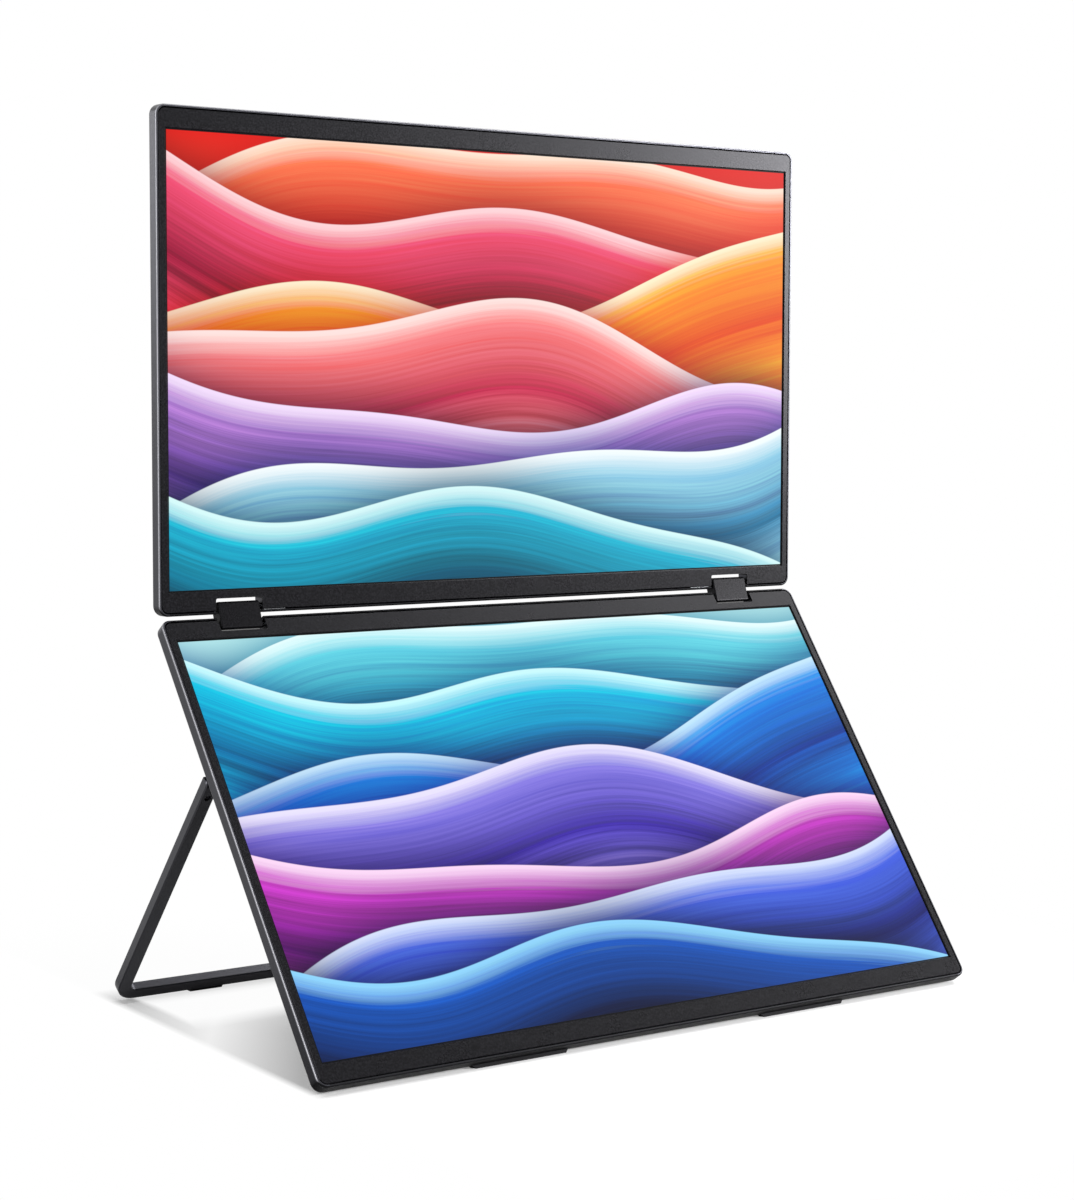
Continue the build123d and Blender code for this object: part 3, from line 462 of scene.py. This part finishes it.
def picture(name, node, sky, waves):
    """A lit screen: sky, then the waves from the far one to the near one."""
    finish = Finish(name)
    corner, turn, width, height = picture_frame(node)
    size = (width, height, 1)
    sockets = {"Vector": place(finish), "Location": corner, "Rotation": turn, "Scale": size}
    u, v = parts(finish, finish.add("ShaderNodeMapping", {"vector_type": "TEXTURE"}, sockets), "XY")
    top, bottom = (paint(tint) for tint in sky)
    colour = finish.mix(v, bottom, top)
    for number, tints in enumerate(waves):
        colour = wave(finish, colour, u, v, number / (len(waves) - 1), number, tints)
    side = finish.maths("MINIMUM", u, 1 - u) * (width / BLACK_LINE)
    end = finish.maths("MINIMUM", v, 1 - v) * (height / BLACK_LINE)
    lit = finish.clamp((finish.maths("MINIMUM", side, end) - 1) * LINE_SHARPNESS)
    colour = finish.mix(lit, BLACK, colour)
    return finish.surface(Base_Color=GLASS_TINT, Roughness=GLASS_ROUGH, Specular_IOR_Level=GLASS_SHEEN,
                          Emission_Color=colour, Emission_Strength=1.0)


# %% The colours of both pictures
UPPER_SKY = ("#f01a10", "#ffb070")
UPPER_WAVES = (
    ("#ffe6d2", "#ff7a4e", "#dc1610"), ("#ffd6da", "#f04a70", "#a20a3a"),
    ("#fff2cf", "#ffa01e", "#ea4a00"), ("#ffe4e0", "#fa7d80", "#c81f4c"),
    ("#f6e0ff", "#ad78cf", "#54308a"), ("#f6fdff", "#94d2ea", "#1f7fae"),
    ("#d8fbfb", "#12b0d0", "#00506e"),
)
LOWER_SKY = ("#bff2f4", "#45c8de")
LOWER_WAVES = (
    ("#e6feff", "#62d6e8", "#1192b4"), ("#ccfbff", "#00bfe6", "#0070aa"),
    ("#c6eaff", "#0a86ea", "#06379a"), ("#ece6ff", "#8478e4", "#3a22a8"),
    ("#ffdcfa", "#c638c2", "#66067c"), ("#d8e4ff", "#4466e8", "#141c78"),
    ("#92d8ff", "#0c52b6", "#030c34"),
)
pictures = {
    "upper_lcd_panel": picture("upper_picture", "upper_lcd_panel", UPPER_SKY, UPPER_WAVES),
    "lower_lcd_panel": picture("lower_picture", "lower_lcd_panel", LOWER_SKY, LOWER_WAVES),
}
print("painted", ", ".join(pictures))

# %% [markdown]
# ## Dress the solid model
# The record names a material slot for each node, so a loop hands every node the finish of its
# slot. The two pictures differ, and each rear cover has its cut edge on the side that its own
# screen faces.

# %% Give every node its finish
COVER_LOOK = ("#36363a", "#3a3a3f", 0.00015, 0.3)  # two tints, the grain and the roughness
own_finishes = dict(pictures)
for screen in ("lower", "upper"):
    front = front_of(f"{screen}_lcd_panel")
    own_finishes[f"{screen}_rear_cover"] = anodised(f"{screen}_cover", *COVER_LOOK, front)
slot_of = {piece["node"]: piece["material_slot"] for piece in frame["record"]["subparts"]}
for node, piece in nodes.items():
    finish = own_finishes.get(node) or finishes[slot_of[node]]
    for holder in piece.material_slots:
        holder.material = finish
print("dressed", len(nodes), "nodes")

# %% [markdown]
# ## Screws
# Six small countersunk screws hold each rear cover, six more hold the housing, and two pan-head
# screws hold the kickstand's pins. The solid model has their plain heads and shanks; a real head
# also has a rounded rim and a cross recess that the driver fits. The recess could be a dark mark in
# the finish, but a cut one catches light from any side. One screw of each kind is turned from a
# cylinder, and every head in the solid model then gets a copy of it.

# %% Choose faces by their normal
SQUARELY = 0.99  # a normal this far along an axis counts as facing it


def choose(piece, wanted):
    """Enter edit mode with the faces selected that a test picks."""
    bpy.ops.object.mode_set(mode="EDIT")
    bpy.ops.mesh.select_mode(type="FACE")
    bpy.ops.mesh.select_all(action="DESELECT")
    bpy.ops.object.mode_set(mode="OBJECT")
    for face in piece.data.polygons:
        face.select = wanted(face)
    bpy.ops.object.mode_set(mode="EDIT")


def every_face(face):
    return True


def top_face(face):
    return face.normal.z > SQUARELY


def bottom_face(face):
    return face.normal.z < -SQUARELY


# %% Turn a screw from a cylinder
HEAD_RADIUS, SHANK_RADIUS = 0.0014, 0.0007
RIM_ROUND, ROUND_STEPS = 0.00012, 2
SCREW_SIDES = 40


def turned_screw(name, head_height, under_head, length):
    """A screw with its top at the origin: a head, its radius where it ends, and a shank below it."""
    bpy.ops.object.select_all(action="DESELECT")
    bpy.ops.mesh.primitive_cylinder_add(vertices=SCREW_SIDES, radius=HEAD_RADIUS, depth=head_height,
                                        location=(0, 0, -head_height / 2))
    screw = bpy.context.object
    screw.name = name
    bpy.ops.object.transform_apply(location=True)
    choose(screw, bottom_face)
    under = under_head / HEAD_RADIUS
    bpy.ops.transform.resize(value=(under, under, 1), center_override=(0, 0, -head_height))
    bpy.ops.mesh.inset(thickness=under_head - SHANK_RADIUS)
    bpy.ops.mesh.extrude_region_move(TRANSFORM_OT_translate={"value": (0, 0, head_height - length)})
    choose(screw, top_face)
    bpy.ops.mesh.bevel(offset=RIM_ROUND, segments=ROUND_STEPS, affect="EDGES")
    bpy.ops.object.mode_set(mode="OBJECT")
    return screw


# %% Cut the cross recess
CROSS_SPAN, CROSS_WIDTH, CROSS_DEPTH = 0.0017, 0.0004, 0.0005
CROSS_TAPER = (0.55, 0.75, 1)  # how much of its length and width is left at the bottom
SCREW_SMOOTH = radians(30)  # edges flatter than this are shaded round


def cut_cross(screw):
    """Sink two crossed wedges into the head."""
    for turn in (0, tau / 4):
        bpy.ops.object.select_all(action="DESELECT")
        bpy.ops.mesh.primitive_cube_add(size=1)
        wedge = bpy.context.object
        choose(wedge, every_face)
        size = (CROSS_SPAN, CROSS_WIDTH, 2 * CROSS_DEPTH)
        bpy.ops.transform.resize(value=size, center_override=(0, 0, 0))
        choose(wedge, bottom_face)
        bpy.ops.transform.resize(value=CROSS_TAPER, center_override=(0, 0, -CROSS_DEPTH))
        bpy.ops.mesh.select_all(action="SELECT")
        bpy.ops.transform.rotate(value=turn, orient_axis="Z", center_override=(0, 0, 0))
        bpy.ops.object.mode_set(mode="OBJECT")
        cut = screw.modifiers.new("cross", "BOOLEAN")
        cut.operation = "DIFFERENCE"
        cut.object = wedge
        bpy.context.view_layer.objects.active = screw
        bpy.ops.object.modifier_apply(modifier=cut.name)
        bpy.data.objects.remove(wedge)
    bpy.ops.object.select_all(action="DESELECT")
    screw.select_set(True)
    bpy.ops.object.shade_smooth_by_angle(angle=SCREW_SMOOTH)


# %% Make one screw of each kind
COUNTERSINK, COUNTERSUNK_LENGTH = 0.0008, 0.004
NECK = 1.001  # where a countersunk head ends, it is a hair wider than the shank
PAN_HEIGHT, PAN_SHANK = 0.00045, 0.0017
countersunk = turned_screw("countersunk_screw", COUNTERSINK, SHANK_RADIUS * NECK, COUNTERSUNK_LENGTH)
pan_head = turned_screw("pan_head_screw", PAN_HEIGHT, HEAD_RADIUS, PAN_HEIGHT + PAN_SHANK)
for screw in (countersunk, pan_head):
    cut_cross(screw)
    screw.data.materials.clear()
    screw.data.materials.append(finishes["screw_steel"])
    print("turned", screw.name, "with", len(screw.data.polygons), "faces")

# %% Find the heads in the solid model
HEAD_APART = 0.003  # faces closer than this belong to one head


def heads(node):
    """The way that a node's screws face, and the middle of each head's flat top."""
    faces = nodes[node].data.polygons
    areas = {}
    for face in faces:
        way = face.normal.to_tuple(2)
        areas[way] = areas.get(way, 0) + face.area
    widest = max(areas, key=areas.get)
    tops = [face for face in faces if face.normal.to_tuple(2) == widest]
    groups = []
    for face in tops:
        near = [group for group in groups if (group[0].center - face.center).length < HEAD_APART]
        if near:
            near[0].append(face)
        else:
            groups.append([face])
    outward = tops[0].normal.copy()
    middles = []
    for group in groups:
        total = sum(face.area for face in group)
        middles.append(sum((face.center * face.area for face in group), Vector()) / total)
    return outward, middles


# %% Copy a screw to every head
bodies = frame["record"]["behaviour"]["bodies"]
body_of_node = {node: body for body, held in bodies.items() for node in held}
screw_kinds = {
    "lower_cover_screws": countersunk, "upper_cover_screws": countersunk,
    "housing_screws": countersunk, "kickstand_screws": pan_head,
}
for node, screw in screw_kinds.items():
    outward, middles = heads(node)
    turn = outward.to_track_quat("Z", "Y").to_matrix().to_4x4()
    for number, middle in enumerate(middles, 1):
        copy = screw.copy()
        copy.data = screw.data.copy()
        copy.name = copy.data.name = f"{node.removesuffix('s')}_{number}"
        copy.data.transform(Matrix.Translation(middle) @ turn)
        bpy.context.collection.objects.link(copy)
        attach(copy, body_of_node[node])
        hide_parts(node)
    print(node, "has", len(middles), "heads")
for screw in (countersunk, pan_head):
    bpy.data.objects.remove(screw)

# %% [markdown]
# ## Signs on the buttons
# A finger finds the four buttons by touch, so each cap has a raised sign: a ring, three bars, a plus
# and a minus. They are moulded with the cap. A sign could be printed, which is only a colour, but
# then it could not be felt. Each sign is built flat from low bars or a ring, joined into one body,
# rounded by a Bevel modifier, and then turned to face the left like the cap under it.

# %% Bars and a ring
SIGN_SIZE, SIGN_WIDTH = 0.0013, 0.00024
SIGN_PROUD, SIGN_SINK = 0.0001, 0.00006  # above the cap, and sunk into it
SIGN_HEIGHT, SIGN_LIFT = SIGN_PROUD + SIGN_SINK, (SIGN_PROUD - SIGN_SINK) / 2
RING_SIDES = 32


def raised_bar(shift, turn):
    """A low bar, moved sideways and then turned in its plane."""
    bpy.ops.object.select_all(action="DESELECT")
    bpy.ops.mesh.primitive_cube_add(size=1)
    bar = bpy.context.object
    choose(bar, every_face)
    size = (SIGN_SIZE, SIGN_WIDTH, SIGN_HEIGHT)
    bpy.ops.transform.resize(value=size, center_override=(0, 0, 0))
    bpy.ops.transform.translate(value=(0, shift, SIGN_LIFT))
    bpy.ops.transform.rotate(value=turn, orient_axis="Z", center_override=(0, 0, 0))
    bpy.ops.object.mode_set(mode="OBJECT")
    return bar


def raised_ring():
    """A low disc whose middle is pushed down into the cap, so that a ring is left."""
    bpy.ops.object.select_all(action="DESELECT")
    bpy.ops.mesh.primitive_cylinder_add(vertices=RING_SIDES, radius=SIGN_SIZE / 2, depth=SIGN_HEIGHT)
    ring = bpy.context.object
    choose(ring, every_face)
    bpy.ops.transform.translate(value=(0, 0, SIGN_LIFT))
    choose(ring, top_face)
    bpy.ops.mesh.inset(thickness=SIGN_WIDTH)
    bpy.ops.transform.translate(value=(0, 0, -SIGN_PROUD - SIGN_SINK / 2))
    bpy.ops.object.mode_set(mode="OBJECT")
    return ring


# %% Join and round a sign
SIGN_ROUND = 0.00004
SIGN_SMOOTH = radians(40)


def joined(first, *others):
    """One body made of several, with its sharp edges rounded."""
    for other in others:
        join = first.modifiers.new("join", "BOOLEAN")
        join.operation = "UNION"
        join.object = other
        bpy.context.view_layer.objects.active = first
        bpy.ops.object.modifier_apply(modifier=join.name)
        bpy.data.objects.remove(other)
    bpy.ops.object.select_all(action="DESELECT")
    first.select_set(True)
    bpy.context.view_layer.objects.active = first
    rounding = first.modifiers.new("rounding", "BEVEL")
    rounding.width, rounding.segments = SIGN_ROUND, ROUND_STEPS
    bpy.ops.object.modifier_apply(modifier=rounding.name)
    bpy.ops.object.shade_smooth_by_angle(angle=SIGN_SMOOTH)
    return first


# %% Place a sign on each cap
BAR_STEP = 0.00042  # between the three bars
signs = {
    "power_button": joined(raised_ring()),
    "menu_button": joined(*(raised_bar(shift, 0) for shift in (-BAR_STEP, 0, BAR_STEP))),
    "plus_button": joined(raised_bar(0, 0), raised_bar(0, tau / 4)),
    "minus_button": joined(raised_bar(0, 0)),
}
outward = Vector((-1, 0, 0))
across_cap = front_of("lower_lcd_panel")
along_cap = across_cap.cross(outward)
facing_left = Matrix((along_cap, across_cap, outward)).transposed().to_4x4()
for node, sign in signs.items():
    low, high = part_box(node)
    middle = (Vector(low) + Vector(high)) / 2
    middle.x = low[0]
    sign.data.transform(Matrix.Translation(middle) @ facing_left)
    sign.name = sign.data.name = f"{node}_sign"
    sign.data.materials.clear()
    sign.data.materials.append(finishes["button_plastic"])
    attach(sign, body_of_node[node])
    print(sign.name, "has", len(sign.data.polygons), "faces")

# %% [markdown]
# ## Studio
# The object stands on a white sweep, which is a roll of paper. A plain lit floor would show its own
# greys to the horizon, so this one mixes lit paper with plain white light. It is mostly paper where
# the shadow falls: under the leaning screen, in a strip along its left side and below the stand's
# bar. Further out it is all white light, so that no edge shows.

# %% Rays
def mirror_rays(finish):
    """1 for rays that a reflection or glass sends on."""
    names = ("Is Glossy Ray", "Is Transmission Ray")
    glossy_ray, clear_ray = (finish.add("ShaderNodeLightPath", {}, {}, name) for name in names)
    return finish.clamp(glossy_ray + clear_ray)


def camera_rays(finish):
    return finish.add("ShaderNodeLightPath", {}, {}, "Is Camera Ray")


# %% Where the floor shows its shadow
UNDER_SHARE, LEAST_SHARE, AROUND_SHARE = 0.85, 0.22, 0.04  # of the floor's look that the lamps make
SHARE_GAIN, SHARE_SLOPE = 8.6, 1.5  # how fast the shadow deepens per metre, and how its tones run
LEFT_BLUR, RIGHT_BLUR, BACK_BLUR = 0.005, 0.05, 0.02  # how softly the shadow under the screen ends
LEFT_LEAD = 0.2  # how much of the left blur lies outside the screen's side
BACK_END = 0.045  # where the shadow under the screen ends at the back
STRIP_WIDTH = 0.0125  # a strip of it runs on to the stand along the left side
BAR_SHARE, BAR_BLUR = 0.35, 0.015  # under the stand's bar


def shadow_share(finish):
    """How much of the floor's look the lamps make, from place to place."""
    x, y = parts(finish, place(finish), "XY")
    from_left = x - cad_box[0].x
    inside = finish.clamp(from_left / LEFT_BLUR + LEFT_LEAD)
    screen = finish.clamp((BACK_END - y) / BACK_BLUR) * finish.clamp((cad_box[1].x - x) / RIGHT_BLUR + 1)
    strip = finish.clamp((STRIP_WIDTH - from_left) / LEFT_BLUR + MIDDLE)
    strip = strip * finish.clamp((cad_box[1].y - y) / BACK_BLUR + 1)
    depth = LEAST_SHARE + SHARE_GAIN * finish.maths("ABSOLUTE", y - SHARE_SLOPE * from_left)
    under = finish.maths("MAXIMUM", screen, strip) * finish.maths("MINIMUM", depth, UNDER_SHARE)
    low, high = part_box("kickstand_feet")
    from_bar = finish.maths("ABSOLUTE", y - (low[1] + high[1]) / 2)
    around = finish.maths("MAXIMUM", finish.clamp(1 - from_bar / BAR_BLUR) * BAR_SHARE, AROUND_SHARE)
    return inside * finish.maths("MAXIMUM", under, around)


# %% Floor
FLOOR_SIZE = 12.0
FADE_START, FADE_END = 0.2, 0.3  # how far out the paper turns to light
PAPER_WHITE = (0.9, 0.9, 0.9, 1)


def paper():
    """White paper that shows the shadow near the object and is plain light further out."""
    finish = Finish("floor_paper")
    distance = finish.add("ShaderNodeVectorMath", {"operation": "LENGTH"}, {0: place(finish)}, "Value")
    near = finish.clamp((FADE_END - distance) / (FADE_END - FADE_START))
    lit = finish.add("ShaderNodeBsdfDiffuse", {}, {"Color": PAPER_WHITE})
    white = finish.add("ShaderNodeEmission", {}, {"Color": WHITE, "Strength": 1.0})
    plain = 1 - near * shadow_share(finish)
    glow = camera_rays(finish) * plain + mirror_rays(finish) * (1 - near)
    both = finish.add("ShaderNodeMixShader", {}, {0: glow, 1: lit, 2: white})
    finish.add("ShaderNodeOutputMaterial", {}, {"Surface": both})
    return finish.material


bpy.ops.object.select_all(action="DESELECT")
bpy.ops.mesh.primitive_plane_add(size=FLOOR_SIZE)
floor = bpy.context.object
floor.name = "floor"
floor.data.materials.append(paper())
print("floor of", FLOOR_SIZE, "metres")

# %% Surroundings
WORLD_LIGHT = 0.3  # what the white surroundings add to the lamps
world = bpy.data.worlds.new("studio")
world.use_nodes = True
bpy.context.scene.world = world
sky = Finish("studio", world.node_tree)
level = WORLD_LIGHT + (1 - WORLD_LIGHT) * (camera_rays(sky) + mirror_rays(sky))
glow = sky.add("ShaderNodeBackground", {}, {"Color": WHITE, "Strength": level})
sky.add("ShaderNodeOutputWorld", {}, {"Surface": glow})
print("surroundings light the object at", WORLD_LIGHT)

# %% [markdown]
# ## Lamps
# Product photographers use large soft lamps. One at the right, low, gives the bezels their sheen,
# which grows towards the right; one high at the right lights the lower screen's head; a tall narrow
# one at the left draws the thin bright lines on the edges; and one behind lights the side walls
# and the back. Point lamps would give hard shadows, so area lamps are used. Each is placed by the
# angle round the object and the angle above the floor, as a photographer would say it.

# %% A soft lamp
AIM = Vector((0, 0, 0.2))
LAMP_DISTANCE = 2.2


def softbox(name, round_angle, rise_angle, size, power):
    """A rectangular lamp, placed by its angles to the right of the front and above the floor."""
    turn, rise = radians(round_angle), radians(rise_angle)
    way = Vector((sin(turn) * cos(rise), -cos(turn) * cos(rise), sin(rise)))
    lamp = bpy.data.lights.new(name, "AREA")
    lamp.shape = "RECTANGLE"
    lamp.size, lamp.size_y = size
    lamp.energy = power
    holder = bpy.data.objects.new(name, lamp)
    bpy.context.collection.objects.link(holder)
    aim = (-way).to_track_quat("-Z", "Y").to_matrix().to_4x4()
    holder.matrix_world = Matrix.Translation(AIM + way * LAMP_DISTANCE) @ aim


# %% Place the lamps
SOFTBOXES = {  # angle round from the front, angle above the floor, width and height, and watts
    "right_softbox": (55.2, 10.8, (0.47, 0.47), 88),
    "high_softbox": (88.8, 41.8, (1.05, 1.05), 33),
    "left_softbox": (-70, 19, (0.3, 1.7), 18),
    "back_softbox": (-146, 14, (0.6, 0.8), 6.5),
}
for name, (round_angle, rise_angle, size, power) in SOFTBOXES.items():
    softbox(name, round_angle, rise_angle, size, power)
print("lamps:", ", ".join(SOFTBOXES))
